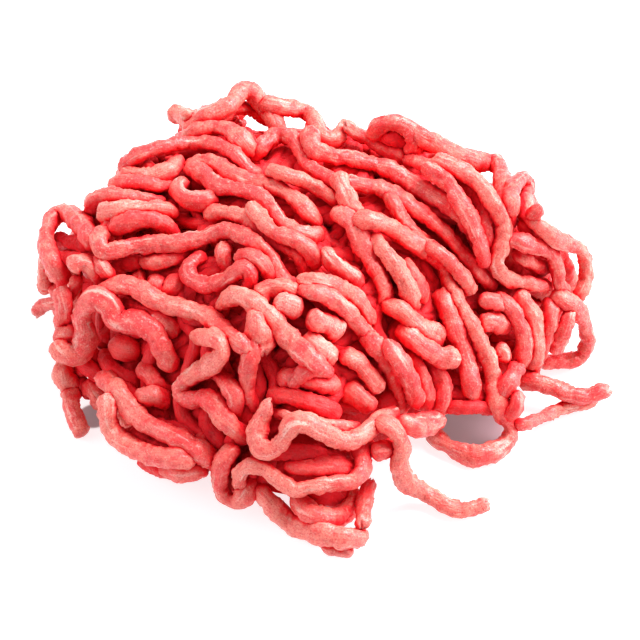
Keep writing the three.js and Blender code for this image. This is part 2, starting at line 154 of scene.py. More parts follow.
CENTRE_STRANDS = {
    "left_pocket": "55,241 68,242 81,245 94,250",
    "left_pocket_low": "58,259 72,259 86,260 98,262",
    "left_loop": "97,247 87,232 78,220 65,213 53,219 47,233 48,250 55,266 63,280",
    "left_stub": "36,314 42,305 58,302 72,294 78,276",
    "left_lump": "68,268 80,262 94,268 104,280",
    "left_drop": "60,288 64,304 64,322",
    "left_patch": "96,258 104,270 112,276",
    "left_blob": "142,262 156,262 172,258 190,250",
    "prong_one": "138,272 142,288 146,296",
    "prong_two": "158,276 154,290 152,300",
    "prong_three": "178,276 172,290 164,300",
    "long_left": "104,230 98,240 104,252 124,248 150,244 180,243 204,238 222,231 240,234 256,244"
                 " 270,256 277,272 290,284 312,292 332,304 346,322",
    "short_upright": "225,243 223,256 230,270",
    "centre_arch": "236,258 250,255 264,264 270,278",
    "double_curl": "204,256 192,262 187,274 200,284 220,283 236,272 247,268 252,280 246,292",
    "fat_lump": "256,298 268,290 286,290 300,296",
    "fat_lump_low": "273,302 288,306 303,312",
    "lower_lump": "308,320 325,323 343,334",
    "lower_lump_foot": "306,341 318,350 331,359",
    "deep_lump": "282,378 300,378 320,384 334,382",
    "dark_strip": "270,394 290,396 314,404 338,414",
    "short_lump": "346,388 358,396 374,410",
    "red_fold": "322,250 334,264 350,276 358,286",
    "shaded_edge": "404,262 416,280 424,300",
    "bent_piece": "290,384 312,368 330,372",
    "torn_arch": "222,314 224,302 236,296 250,300 263,312 277,327 292,342 310,358 330,375",
    "torn_flap": "256,314 256,328 260,342 264,355",
    "deep_upright": "256,342 250,358 247,376 248,392 254,410",
    "deep_slope": "216,372 228,384 236,400 234,414",
    "band_high": "298,280 322,283 344,290 360,302 372,322",
    "band_low": "300,290 322,294 342,306 358,324 372,340 384,358",
    "fat_streak": "336,212 352,222 362,242 374,264 384,286 387,308",
    "beside_streak": "372,236 386,254 398,270 408,290 414,310",
    "hollow_four": "466,364 480,374 492,386",
    "hollow_one": "444,376 456,380 470,384 484,388",
    "hollow_two": "442,392 456,395 472,397 488,400",
    "hollow_three": "440,406 456,407 474,407 492,409",
    "long_front": "356,218 384,224 406,238 428,250 444,266 451,288 462,308 472,324 480,342"
                  " 488,360 494,378 497,398 505,416 511,430 506,443 490,454 474,457 458,451"
                  " 444,444 432,438",
    "short_slope": "428,246 446,258 462,276 472,292",
    "beside_long": "440,292 448,312 456,332 463,350 468,368 471,384 472,398",
    "fall_four": "428,358 439,376 443,394 438,412",
    "fall_three": "408,352 419,370 426,388 424,408",
    "nose_top": "384,306 398,308 412,320 428,332 442,338",
    "nose": "400,328 414,340 428,350 442,357 461,360",
    "fall_one": "366,334 380,352 393,374 401,394 403,410",
    "fall_two": "386,342 399,360 410,382 418,405",
    "right_finger": "342,354 356,360 370,376 382,392",
}

FRONT_STRANDS = {
    "foot_fill": "72,376 83,386 92,398",
    "low_left": "66,362 64,376 72,388",
    "low_left_patch": "78,370 92,366",
    "low_left_stub": "72,389 71,404 76,420 83,437",
    "low_left_side": "88,384 97,396 104,406",
    "left_hollow": "84,350 93,358 106,366",
    "left_hollow_low": "78,362 92,370 106,380",
    "cavity_left": "104,352 112,368 126,378 140,384",
    "cavity_middle": "118,384 136,396 152,410 166,424",
    "cavity_right": "146,424 164,428 184,432 204,440",
    "ball": "118,343 126,348 135,346",
    "side_lump": "142,366 154,380 166,394",
    "side_lump_low": "138,398 152,396 168,402",
    "behind_hook": "208,430 200,446 212,456",
    "rim_under": "142,459 156,467 172,473 190,475 206,467",
    "rim_foot": "164,468 184,472 204,466",
    "rim_middle": "128,432 146,443 168,450 192,457",
    "rim_upper": "103,376 116,390 129,407 145,423 166,433 188,444 206,456 218,464",
    "rim_lower": "108,397 108,418 117,437 136,449 158,457 194,460",
    "arch_upper": "114,305 132,308 150,314 166,322 176,334",
    "long_shoulder": "97,301 108,289 122,284 140,290 160,302 184,309 206,315 222,328 238,342"
                     " 252,352",
    "knob_top": "58,334 69,335 79,330",
    "front_arch": "54,341 62,352 75,355 84,346 85,331 81,318 87,304 98,298 109,305 117,319"
                  " 136,322 153,331 162,348 171,367",
    "six_loop": "196,338 214,338 224,350 214,362 198,373 184,384 181,394 192,400 206,397 214,403"
                " 221,415 232,427 247,437",
    "front_flap": "320,545 337,551 354,553",
    "front_edge": "256,486 268,500 282,515 298,526 320,533 342,538 363,538",
    "ring_hollow": "304,495 322,496 342,495",
    "front_ring": "298,499 308,512 324,518 341,516 351,507 355,492",
    "edge_drop": "362,528 364,512 366,494 371,480",
    "pocket_floor": "256,458 280,452 304,452 328,457 350,458",
    "hook": "236,446 224,460 219,478 225,496 238,502 248,492 246,478",
    "deep_front": "286,466 310,468 336,465 358,470",
    "wave_low": "240,488 239,476 248,466 264,468 278,480 294,489 312,487 334,484 354,480 364,468"
                " 362,450 366,434",
    "wave_behind": "272,413 288,416 306,421 326,426 346,428 360,430",
    "wave": "270,403 262,418 257,436 263,450 276,448 285,436 292,424 304,422 320,430 336,439"
            " 350,441 364,434 380,420 396,412",
    "under_knot": "372,452 384,450 398,444",
    "knot": "398,421 411,425 425,425 437,418",
    "stray_front": "378,420 394,430 402,446 400,466 406,482 424,492 444,504 462,511 476,508"
                   " 488,502",
    "stray_right_low": "514,426 536,420 558,410 580,404 598,396",
    "stray_right": "522,380 544,384 566,392 586,396 600,392 609,389",
    "front_lump": "518,366 510,380 502,396",
    "front_lump_low": "518,392 516,408 508,416",
}

# In the order in which they lie, the lowest first
SHOWN_GROUPS = {
    "back_strands": BACK_STRANDS,
    "right_strands": RIGHT_STRANDS,
    "centre_strands": CENTRE_STRANDS,
    "front_strands": FRONT_STRANDS,
}

# How many times as thick as most a strand is
WIDTHS = {
    "tip_left": 1.15, "crest": 1.15, "second_left": 1.05, "back_loop": 1.2, "back_edge": 1.15,
    "right_loop": 0.95, "right_knob": 0.65, "left_loop": 1.25, "left_stub": 0.85,
    "short_upright": 0.75, "fat_lump": 1.15, "fat_lump_low": 1.5, "lower_lump": 1.5,
    "lower_lump_foot": 1.3, "deep_lump": 1.2, "short_lump": 1.15, "torn_arch": 1.15,
    "torn_flap": 1.3, "fat_streak": 1.12, "long_front": 1.12, "nose_top": 1.15, "nose": 1.35,
    "low_left": 1.2, "low_left_stub": 1.15, "ball": 1.8, "rim_upper": 1.25, "rim_lower": 1.15,
    "long_shoulder": 1.12, "front_arch": 1.32, "six_loop": 1.2, "front_flap": 0.75,
    "front_edge": 1.3, "front_ring": 1.2, "edge_drop": 0.8, "hook": 1.1, "wave_behind": 0.8,
    "wave": 1.05, "knot": 1.3, "stray_right_low": 0.85,
}

# Ends that lie free: the strand's first end, its last, or both. The others dip out of sight
# among their neighbours.
FREE_ENDS = {
    "tip_left": "first", "left_stub": "first", "stray_front": "last", "stray_right": "last",
    "stray_right_low": "last", "nose": "last", "wave": "first", "torn_arch": "last",
    "torn_flap": "last", "right_finger": "last", "front_arch": "first", "edge_drop": "both",
    "lower_lump": "both", "fat_lump": "both", "low_left_stub": "last", "right_low_loop": "last",
    "left_lump": "first", "right_ball": "both", "right_lump": "first", "right_lump_low": "first",
    "notch_knob": "first", "short_lump": "last", "wave_low": "last", "right_knob": "first",
    "tip_above": "first", "fat_lump_low": "both", "front_flap": "both",
}

# How much painted shade, deep red, covers a strand, from 0 to 1. Most lie in the heap's hollows.
STRAND_PAINTED_SHADE = {
    "crest_hollow": 0.9, "loop_hollow": 0.9, "ladder_foot": 0.3, "curl_back": 0.2,
    "hollow_right": 0.9, "hollow_right_low": 0.9, "hollow_right_foot": 0.9, "right_lump": 0.3,
    "left_pocket": 0.96, "left_pocket_low": 0.96, "left_drop": 0.3, "deep_lump": 0.35,
    "dark_strip": 0.75, "shaded_edge": 0.4, "deep_upright": 0.25, "deep_slope": 0.15,
    "hollow_one": 0.95, "hollow_two": 0.9, "hollow_three": 0.8, "hollow_four": 0.9,
    "foot_fill": 0.7, "left_hollow": 0.9, "left_hollow_low": 0.9, "cavity_left": 0.9,
    "cavity_middle": 0.8, "cavity_right": 0.8, "ball": 0.6, "side_lump": 0.5,
    "side_lump_low": 0.2, "rim_under": 0.7, "rim_foot": 0.3, "rim_middle": 0.3,
    "ring_hollow": 0.95, "front_ring": 0.1, "edge_drop": 0.3, "pocket_floor": 0.95,
    "hook": 0.15, "deep_front": 0.5, "under_knot": 0.4, "front_lump_low": 0.35,
}

# How much fat a strand has, from 0 to 1
FATTY = {
    "right_lump": 0.5, "right_ball": 0.4, "left_lump": 0.2, "prong_one": 0.5, "prong_two": 0.6,
    "fat_lump_low": 1.0, "lower_lump": 0.5, "lower_lump_foot": 0.7, "fat_streak": 0.35,
    "low_left_patch": 0.5, "side_lump_low": 0.5, "front_flap": 0.7, "wave_behind": 0.3,
}

# Ends that are torn, not cut: the strand's first end, its last, or both
TORN = {
    "notch_knob": "first", "right_low_loop": "last", "left_stub": "first",
    "torn_flap": "last", "band_high": "last", "fat_streak": "last", "long_front": "last",
    "edge_drop": "both", "wave": "first", "stray_front": "last", "stray_right": "last",
}


def distance_share(x, y):
    """0 at the heap's summit, 1 on its outline."""
    dx = np.asarray(x, float) - SUMMIT[0]
    dy = np.asarray(y, float) - SUMMIT[1]
    across = np.where(dx < 0, REACH_LEFT, REACH_RIGHT)
    along = np.where(dy < 0, REACH_FRONT, REACH_BACK)
    front_power = np.where(dx < 0, ROUND_FRONT_LEFT, ROUND_FRONT_RIGHT)
    power = np.where(dy < 0, front_power, ROUND_BACK)
    return (np.abs(dx / across) ** power + np.abs(dy / along) ** power) ** (1 / power)


def height_at_share(share):
    return HEAP_HEIGHT * np.maximum(1 - share**SHOULDER_POWER, 0) ** FLANK_POWER


def share_at_height(height):
    return (1 - (height / HEAP_HEIGHT) ** (1 / FLANK_POWER)) ** (1 / SHOULDER_POWER)


def plan_point(angle, share):
    """The point of the heap's plan at an angle, a share of the way from summit to outline."""
    x, y = math.cos(angle), math.sin(angle)
    reach = share / float(distance_share(SUMMIT[0] + x, SUMMIT[1] + y))
    return np.array([SUMMIT[0] + x * reach, SUMMIT[1] + y * reach])


class Bed:
    """The height at which the middle of a strand comes to rest, on a grid of the plan: HALF is
    half the grid's width and CELL its step."""

    HALF = 110.0
    CELL = 1.0

    def __init__(self, sunk=0.0):
        self.axis = np.arange(-self.HALF, self.HALF + self.CELL, self.CELL)
        x, y = np.meshgrid(self.axis, self.axis, indexing="ij")
        self.height = np.maximum(height_at_share(distance_share(x, y)) - sunk, STRAND_RADIUS)

    def at(self, x, y):
        """The bed's height at places of the plan, between its grid's points."""
        last = len(self.axis) - 1.001
        u = np.clip((x + self.HALF) / self.CELL, 0, last)
        v = np.clip((y + self.HALF) / self.CELL, 0, last)
        i, j = u.astype(int), v.astype(int)
        u, v = u - i, v - j
        near = self.height[i, j] * (1 - v) + self.height[i, j + 1] * v
        far = self.height[i + 1, j] * (1 - v) + self.height[i + 1, j + 1] * v
        return near * (1 - u) + far * u

    def raise_under(self, strand):
        """What is laid later rests on this strand too."""
        reach = 2 * STRAND_RADIUS * CROSSING_SQUEEZE
        cells = math.ceil(reach / self.CELL)
        for x, y, z in strand:
            i = round((x + self.HALF) / self.CELL)
            j = round((y + self.HALF) / self.CELL)
            rows = slice(max(i - cells, 0), i + cells + 1)
            columns = slice(max(j - cells, 0), j + cells + 1)
            dx = self.axis[rows][:, None] - x
            dy = self.axis[columns][None, :] - y
            room = reach**2 - dx**2 - dy**2
            rest = np.where(room > 0, z + np.sqrt(np.maximum(room, 0)), 0)
            self.height[rows, columns] = np.maximum(self.height[rows, columns], rest)


# The viewpoint's directions, its place, and its pixels per unit at unit depth
LOOK_FORWARD = np.array([0, math.cos(VIEW_ELEVATION), -math.sin(VIEW_ELEVATION)])
LOOK_UP = np.array([0, math.sin(VIEW_ELEVATION), math.cos(VIEW_ELEVATION)])
EYE = VIEW_AIM - LOOK_FORWARD * VIEW_DISTANCE
FOCAL = PICTURE_WIDTH / 2 / math.tan(VIEW_HALF_ANGLE)


def sight_lines(places):
    """The directions of the viewpoint's lines of sight through places of the picture."""
    right = (places[:, 0] - PICTURE_WIDTH / 2) / FOCAL
    up = (PICTURE_WIDTH / 2 - places[:, 1]) / FOCAL
    lines = LOOK_FORWARD + up[:, None] * LOOK_UP
    lines[:, 0] = right
    return lines


# The step of a search along a line, and the height up to which a strand lies on the table
LINE_STEP = 0.5
ON_TABLE = STRAND_RADIUS + 0.05


def rest_along(bed, starts, directions, length, table_before):
    """How far along each line a strand first rests on the heap, or on the table where y is
    below table_before. It is not a number on a line that rests on nothing."""
    steps = np.arange(0, length, LINE_STEP)
    points = starts[:, None, :] + directions[:, None, :] * steps[None, :, None]
    rest = bed.at(points[..., 0], points[..., 1])
    rests = (points[..., 2] <= rest) & ((rest > ON_TABLE) | (points[..., 1] < table_before))
    first = rests.argmax(1)
    return np.where(rests.any(1), steps[first], np.nan)


# The stretch of a sight line that is searched, the y up to which a strand may lie on the
# table, and the share of its way to the heap's middle that a line that misses is left with
SIGHT_START = 360.0
SIGHT_LENGTH = 205.0
TABLE_SEEN_BEFORE = -4.0
TOWARDS_MIDDLE = 0.985


def sight_depths(bed, places):
    """The depth at which a strand rests on each line of sight. A line that passes the heap
    takes the depth found nearer to the heap's middle."""
    places = places.copy()
    depths = np.full(len(places), np.nan)
    while np.isnan(depths).any():
        open_lines = np.isnan(depths)
        lines = sight_lines(places[open_lines])
        starts = EYE + lines * SIGHT_START
        found = rest_along(bed, starts, lines, SIGHT_LENGTH, TABLE_SEEN_BEFORE)
        depths[open_lines] = found + SIGHT_START
        missed = np.isnan(depths)
        places[missed] = HEAP_MIDDLE + (places[missed] - HEAP_MIDDLE) * TOWARDS_MIDDLE
    return depths


# How much the values beside it count when a value is smoothed
NEIGHBOUR_WEIGHTS = np.array([1, 2, 3, 4, 3, 2, 1]) / 16


def smooth(values):
    """A soft strand bridges small dips: each value is averaged with its neighbours, twice."""
    half = len(NEIGHBOUR_WEIGHTS) // 2
    for _ in range(2):
        values = np.convolve(np.pad(values, half, mode="edge"), NEIGHBOUR_WEIGHTS, "valid")
    return values


def unit(vectors):
    """The vectors in the rows, made one long."""
    return vectors / np.linalg.norm(vectors, axis=1)[:, None]


def above_table(strand):
    """A strand, lifted where its middle lies less than its radius above the table."""
    return np.column_stack([strand[:, :2], np.maximum(strand[:, 2], STRAND_RADIUS)])


def distances_along(points):
    steps = np.linalg.norm(np.diff(points, axis=0), axis=1)
    return np.concatenate([[0], np.cumsum(steps)])


SAMPLES_PER_SPAN = 24


def span(points, with_end):
    """A centripetal Catmull-Rom curve from the second of four points to the third."""
    p0, p1, p2, p3 = points
    t1 = np.linalg.norm(p1 - p0) ** 0.5
    t2 = t1 + np.linalg.norm(p2 - p1) ** 0.5
    t3 = t2 + np.linalg.norm(p3 - p2) ** 0.5
    t = np.linspace(t1, t2, SAMPLES_PER_SPAN, endpoint=with_end)[:, None]
    a1 = ((t1 - t) * p0 + t * p1) / t1
    a2 = ((t2 - t) * p1 + (t - t1) * p2) / (t2 - t1)
    a3 = ((t3 - t) * p2 + (t - t2) * p3) / (t3 - t2)
    b1 = ((t2 - t) * a1 + t * a2) / t2
    b2 = ((t3 - t) * a2 + (t - t1) * a3) / (t3 - t1)
    return ((t2 - t) * b1 + (t - t1) * b2) / (t2 - t1)


def evenly_spaced(points, spacing):
    """Samples of a smooth curve through the points, at even distances along it."""
    points = np.asarray(points, float)
    before, after = 2 * points[0] - points[1], 2 * points[-1] - points[-2]
    points = np.vstack([before, points, after])
    spans = len(points) - 3
    dense = np.vstack([span(points[i:i + 4], i == spans - 1) for i in range(spans)])
    along = distances_along(dense)
    count = max(2, round(along[-1] / spacing))
    at = np.linspace(0, along[-1], count + 1)
    return np.stack([np.interp(at, along, dense[:, k]) for k in range(dense.shape[1])], 1)


# How far apart a strand's samples are: in pixels where it is traced, else in millimetres
PIXEL_SPACING = 5.5
SAMPLE_SPACING = 1.5


def places_from(text):
    """The places that a text of pairs "u,v" names."""
    return np.array([[float(v) for v in pair.split(",")] for pair in text.split()])


# How many samples of an end that isn't free dip, and how deep its tip lies
DIP_SAMPLES = 4
DIP_DEPTH = 4.2


def dips(count, free):
    """How much deeper each of a strand's samples lies for its ends to dip out of sight."""
    share = np.clip(1 - np.arange(count) / DIP_SAMPLES, 0, 1) ** 2
    first = 0 if free in ("first", "both") else share
    last = 0 if free in ("last", "both") else share[::-1]
    return DIP_DEPTH * np.maximum(first, last)


def lay_from_picture(bed, text, free):
    """A strand keeps its place in the view and slides along the lines of sight until it
    rests on what lies below it."""
    places = evenly_spaced(places_from(text), PIXEL_SPACING)
    depths = sight_depths(bed, places)
    padded = np.pad(depths, 1, mode="edge")
    nearest = np.minimum(np.minimum(padded[:-2], depths), padded[2:])
    depths = smooth(nearest) + dips(len(places), free)
    strand = above_table(EYE + sight_lines(places) * depths[:, None])
    bed.raise_under(strand)
    return strand


# Uneven factors, so that the fraction of what they give is scattered
INDEX_FACTOR, SALT_FACTOR, WAVE_FACTOR = 12.9898, 78.233, 43758.5453


def scatter(index, salt):
    """A repeatable scatter between 0 and 1."""
    wave = math.sin(index * INDEX_FACTOR + salt * SALT_FACTOR) * WAVE_FACTOR
    return wave - math.floor(wave)


# Even spreading: each next one lies this share of the way round from the last
GOLDEN = 0.618034

# The strands on the hidden side: where round the summit they lie, how high they start, how
# far round it each reaches, and how those that lie across it drop, wave and sway
HIDDEN_STRANDS = 100
HIDDEN_FROM, HIDDEN_TO = math.radians(-14), math.radians(194)
HIDDEN_TOP = 44.0
STRAND_STEPS = 8
FALL_SWEEP, ACROSS_SWEEP = 0.6, 0.8
ACROSS_DROP, ACROSS_WAVE = 8.0, 4.0
SWAY = 0.08


def hidden_places(index):
    """A strand that winds down the heap's back, or lies across it, by turns."""
    middle = HIDDEN_FROM + (HIDDEN_TO - HIDDEN_FROM) * ((index * GOLDEN) % 1)
    falls = index % 2 == 0
    lift = 2 * STRAND_RADIUS + (HIDDEN_TOP - 2 * STRAND_RADIUS) * scatter(index, 1)
    top = HIDDEN_TOP if falls else lift
    bottom = STRAND_RADIUS if falls else top - ACROSS_DROP
    sweep = FALL_SWEEP * (scatter(index, 2) - 0.5) if falls else ACROSS_SWEEP
    phase = 2 * math.pi * scatter(index, 3)
    places = []
    for share in np.linspace(0, 1, STRAND_STEPS + 1):
        angle = middle + sweep * (share - 0.5) + SWAY * math.sin(phase + 2 * math.pi * share)
        wave = 0 if falls else ACROSS_WAVE * math.sin(phase + 3 * math.pi * share)
        height = max(top + (bottom - top) * share + wave, STRAND_RADIUS)
        places.append([*plan_point(angle, share_at_height(height)), height])
    return places


# The strands round the heap's foot: how far round it each reaches, how high its middle is
# lifted and how unevenly they are spread
FOOT_STRANDS = 8
FOOT_SWEEP, FOOT_RISE, FOOT_STRAY = 0.45, 7.0, 0.4


def foot_places(index):
    """A low strand against the heap's foot: both ends on the table, the middle lifted."""
    middle = 2 * math.pi * (index + FOOT_STRAY * scatter(index, 5)) / FOOT_STRANDS
    places = []
    for share in np.linspace(0, 1, STRAND_STEPS + 1):
        height = STRAND_RADIUS + FOOT_RISE * math.sin(math.pi * share) * scatter(index, 6)
        angle = middle + FOOT_SWEEP * (share - 0.5)
        places.append([*plan_point(angle, share_at_height(height)), height])
    return places


OUTLINE = places_from(SEEN_OUTLINE)
GAPS = [places_from(corners) for corners in SEEN_GAPS.values()]


def in_picture(points):
    """Where points lie in the picture, and its pixels per millimetre at their depth."""
    offsets = points - EYE
    scale = FOCAL / (offsets @ LOOK_FORWARD)
    u = PICTURE_WIDTH / 2 + offsets[:, 0] * scale
    v = PICTURE_WIDTH / 2 - offsets @ LOOK_UP * scale
    return u, v, scale


def inside_outline(u, v, room):
    """Whether places lie inside the outline with room between them and it."""
    inside = np.zeros(len(u), bool)
    clear = np.ones(len(u), bool)
    for (u0, v0), (u1, v1) in zip(OUTLINE, np.roll(OUTLINE, -1, axis=0)):
        share = ((u - u0) * (u1 - u0) + (v - v0) * (v1 - v0)) / ((u1 - u0) ** 2 + (v1 - v0) ** 2)
        share = np.clip(share, 0, 1)
        gap = np.hypot(u0 + share * (u1 - u0) - u, v0 + share * (v1 - v0) - v)
        clear &= gap >= room
        if v0 != v1:
            edge_at = u0 + (v - v0) * (u1 - u0) / (v1 - v0)
            inside ^= ((v0 > v) != (v1 > v)) & (edge_at > u)
    return inside & clear


def off_gaps(u, v, room):
    """Whether places lie off the gaps with room between them and each gap."""
    clear = np.ones(len(u), bool)
    for (left, top), (right, bottom) in GAPS:
        across = np.maximum(np.maximum(left - u, u - right), 0)
        along = np.maximum(np.maximum(top - v, v - bottom), 0)
        clear &= np.hypot(across, along) >= room
    return clear


def within_outline(strand):
    """For each point of a strand, whether it lies within the outline that the picture shows,
    and off the gaps in it."""
    u, v, scale = in_picture(strand)
    room = STRAND_RADIUS * scale
    return inside_outline(u, v, room) & off_gaps(u, v, room * FULLNESS)


# A shorter stretch than this isn't worth keeping
FEWEST_SAMPLES = 9


def stretch_within_outline(strand):
    """The longest stretch of a strand that lies within the outline, if it is worth keeping."""
    longest = range(0)
    start = 0
    for i, within in enumerate([*within_outline(strand), False]):
        if not within:
            longest = max(longest, range(start, i), key=len)
            start = i + 1
    return strand[longest.start:longest.stop] if len(longest) >= FEWEST_SAMPLES else strand[:0]


# Where a strand that isn't seen gives way to, and how far it may
HEART = np.array([*SUMMIT, 5.0])
GIVE_STEP = 1.0
MOST_GIVE_STEPS = 8


def drawn_in(strand, ease=1.0):
    """A strand that the picture doesn't show sinks towards the heap's heart where it would
    stand out beyond the outline, ease times as far as it must. What still stands out is cut
    off."""
    sunk = np.zeros(len(strand))
    inward = unit(HEART - strand)
    for _ in range(MOST_GIVE_STEPS):
        out = ~within_outline(strand + inward * sunk[:, None])
        if not out.any():
            break
        sunk[out] += GIVE_STEP
    given = ease * smooth(np.maximum(sunk, smooth(sunk)))
    return stretch_within_outline(above_table(strand + inward * given[:, None]))


# From how far outside a strand slides in, and how steeply
APPROACH = 30.0
APPROACH_SLOPE = 0.7


def lay_from_outside(bed, places):
    """A strand that the picture doesn't show slides in from outside until it rests, and is
    drawn in where it would be seen."""
    samples = evenly_spaced(places, SAMPLE_SPACING)
    outward = samples - np.array([*SUMMIT, 0])
    outward[:, 2] = 0
    outward = unit(outward)
    outward[:, 2] = APPROACH_SLOPE
    outward = unit(outward)
    depths = rest_along(bed, samples + outward * APPROACH, -outward, 2 * APPROACH, np.inf)
    strand = drawn_in(above_table(samples + outward * (APPROACH - smooth(depths))[:, None]))
    bed.raise_under(strand)
    return strand


# The strands under the strands, in two layers: how many each has, how far it lies under the
# surface, how long and bent its strands are, and how much further than they must they sink
INNER_STRANDS = 150
INNER_SUNK = (4.2, 8.0)
INNER_LENGTH, INNER_STEPS = 34.0, 7
INNER_REACH = 0.84
INNER_BEND = 1.6
INNER_WANDER, INNER_WANDER_PACE = 0.5, 6
INNER_EASE = 1.7
# How much painted shade, deep red, covers the inner strands
INNER_PAINTED_SHADE = 0.85


def inner_strand(bed, index):
    """A short wandering strand under the heap's surface."""
    angle = 2 * math.pi * ((index * GOLDEN) % 1)
    share = math.sqrt((index % INNER_STRANDS + 0.5) / INNER_STRANDS)
    middle = plan_point(angle, INNER_REACH * share)
    heading = 2 * math.pi * scatter(index, 11)
    bend = INNER_BEND * (scatter(index, 12) - 0.5)
    places = []
    for s in np.linspace(-0.5, 0.5, INNER_STEPS):
        turn = heading + bend * s + INNER_WANDER * math.sin(INNER_WANDER_PACE * s + index)
        places.append(middle + INNER_LENGTH * s * np.array([math.cos(turn), math.sin(turn)]))
    samples = evenly_spaced(places, SAMPLE_SPACING)
    heights = smooth(bed.at(samples[:, 0], samples[:, 1]))
    return drawn_in(above_table(np.column_stack([samples, heights])), INNER_EASE)


# How finely strands are meshed: the distance between rings, and the points round a ring
SHOWN_FINENESS = (0.6, 18)
HIDDEN_FINENESS = (0.8, 14)
INNER_FINENESS = (1.6, 9)

# A strand's round ends: their length, their rings as shares of it, and the tip beyond them
CAP_LENGTH = 2.0
CAP_RINGS = (0.06, 0.2, 0.45, 0.75)
TIP = 0.1
TABLE_CLEARANCE = 0.05

# Noise along a strand, each kind as its waves per millimetre and its place in the noise
SWELL = (0.11, 3.7)
PINCH = (0.33, 9.1)
OVAL_TURN = (0.07, 17.3)
OVAL_FLATNESS = (0.09, 29.9)
TONE_DRIFT = (0.05, 41.3)
SEED_STEP = 7.31

# Noise over a strand's surface, each kind as its waves per millimetre round the strand and
# along it, and its place in the noise
LUMPS = (0.36, 0.34, 1.0)
GROOVES = (0.95, 0.14, 1.7)
CREASES = (0.30, 0.62, 2.9)
GRAIN = (0.85, 0.9, 2.3)
JAGS = (0.9, 0.25, 3.1)
NOISE_APART = 11.0
FIBRE_APART = 61.7

# How much each kind does: as a share of the radius, in radians, in tone or in millimetres
SWELL_SHARE, PINCH_SHARE = 0.30, 0.16
MEAN_FLATNESS, FLATNESS_SPREAD, TURN_SPREAD = 0.10, 0.08, 2.5
TONE_SPREAD, DRIFT_SPREAD = 0.45, 0.5
LUMP_DEPTH, GROOVE_DEPTH, GRAIN_DEPTH = 0.45, 0.28, 0.30
CREASE_DEPTH, CREASE_WIDTH = 0.35, 0.14
TORN_LENGTH, JAG_LENGTH = 3.0, 2.2


def ring_places(length, spacing):
    """Distances along a strand at which it has a ring: close together in its round ends."""
    cap = min(CAP_LENGTH, length / 3)
    ends = [cap * share for share in CAP_RINGS]
    count = max(2, round((length - 2 * cap) / spacing))
    middle = np.linspace(cap, length - cap, count + 1)
    return np.concatenate([ends, middle, [length - e for e in reversed(ends)]]), cap


def frames_along(points):
    """A strand's direction and two directions across it at each point, without a twist."""
    tangents = unit(np.gradient(points, axis=0))
    side = np.cross(tangents[0], [0.0, 0.0, 1.0])
    starts_upright = np.linalg.norm(side) < 0.1
    if starts_upright:
        side = np.cross(tangents[0], [0.0, 1.0, 0.0])
    sides = []
    for tangent in tangents:
        side = side - tangent * side.dot(tangent)
        side = side / np.linalg.norm(side)
        sides.append(side)
    sides = np.array(sides)
    return tangents, sides, np.cross(tangents, sides)


def noise_at(points):
    """Smooth noise, about -1 to 1, at each row of points."""
    return np.array([noise.noise(Vector(p)) for p in points])


def noise_along(seed, at, kind):
    """Noise at distances along a strand."""
    pace, place = kind
    return noise_at([(seed, distance * pace, place) for distance in at])


def noise_over(seed, unrolled, kind):
    """Noise over a strand's surface."""
    pace_round, pace_along, place = kind
    shift = np.array([0, 0, seed * NOISE_APART * place])
    return noise_at(unrolled * (pace_round, pace_round, pace_along) + shift)


def end_rounding(at, length, cap):
    """The share of its full radius that each ring has, for the ends to be round."""
    to_end = np.minimum(at, length - at)
    return np.sqrt(np.clip(1 - (1 - np.minimum(to_end / cap, 1)) ** 2, 0, 1))


def oval_radius(seed, at, angle, width):
    """The radius at each angle of each ring, before the relief: uneven and a little oval."""
    swell = SWELL_SHARE * noise_along(seed, at, SWELL)
    pinch = PINCH_SHARE * noise_along(seed, at, PINCH)
    thickness = STRAND_RADIUS * FULLNESS * width * (1 + swell + pinch)
    turn = TURN_SPREAD * noise_along(seed, at, OVAL_TURN)
    flatness = MEAN_FLATNESS + FLATNESS_SPREAD * noise_along(seed, at, OVAL_FLATNESS)
    oval = flatness[:, None] * np.cos(2 * (angle - turn[:, None]))
    return (thickness[:, None] * (1 + oval)).ravel()


def relief(seed, unrolled):
    """How far lumps, grooves, grain and creases raise each point or sink it."""
    lumps = noise_over(seed, unrolled, LUMPS)
    grooves = noise_over(seed, unrolled, GROOVES)
    grain = noise_over(seed, unrolled, GRAIN)
    creases = np.clip(1 - np.abs(noise_over(seed, unrolled, CREASES)) / CREASE_WIDTH, 0, 1)
    raised = LUMP_DEPTH * lumps + GROOVE_DEPTH * grooves + GRAIN_DEPTH * grain
    return raised - CREASE_DEPTH * creases


def torn_ends(seed, unrolled, length, torn):
    """How far each point juts out along the strand, and how near it is to a torn end: 1 at
    the end and 0 away from it."""
    jut, nearness = np.zeros(len(unrolled)), np.zeros(len(unrolled))
    if torn:
        jags = JAG_LENGTH * noise_over(seed, unrolled, JAGS)
        from_first = unrolled[:, 2]
        for end, distance, way in (("first", from_first, -1), ("last", length - from_first, 1)):
            if torn in (end, "both"):
                near = np.clip(1 - distance / TORN_LENGTH, 0, 1)
                jut += way * jags * near
                nearness = np.maximum(nearness, near)
    return jut, nearness


